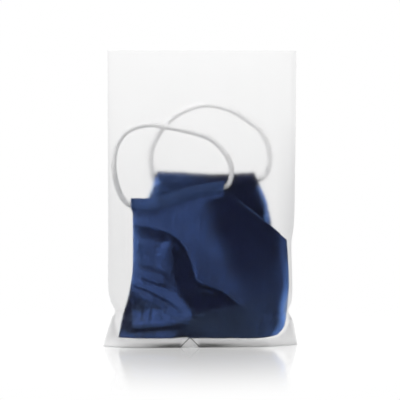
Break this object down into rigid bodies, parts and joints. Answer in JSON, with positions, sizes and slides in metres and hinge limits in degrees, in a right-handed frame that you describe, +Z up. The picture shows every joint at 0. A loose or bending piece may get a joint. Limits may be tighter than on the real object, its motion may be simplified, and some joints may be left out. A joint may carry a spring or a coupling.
{
  "type": "cloth face mask in a glassine bag",
  "caption": "Reusable cloth face mask folded in half at its centre seam, with round elastic ear loops, standing in an open translucent bag with a gusseted foot.",
  "frame": {"origin": "on the floor under the middle of the standing bag", "axes": "+Z up the bag to its open mouth, +X along the bag's width, and the bag's front panel faces -Y"},
  "size_m": [0.157, 0.0534, 0.237],
  "materials": {
    "glassine": "thin frosted translucent film, clear where something presses against it and hazy where it stands away",
    "navy_cotton": "plain woven cotton, soft sheen, creased",
    "white_elastic": "round braided elastic cord"
  },
  "bodies": {
    "root": {"bag_front_panel": "glassine", "bag_back_panel": "glassine", "bag_gusset": "glassine", "mask_front_half": "navy_cotton", "mask_back_half": "navy_cotton", "front_ear_hem": "navy_cotton", "back_ear_hem": "navy_cotton", "front_ear_loop": "white_elastic", "back_ear_loop": "white_elastic"}
  },
  "joints": []
}
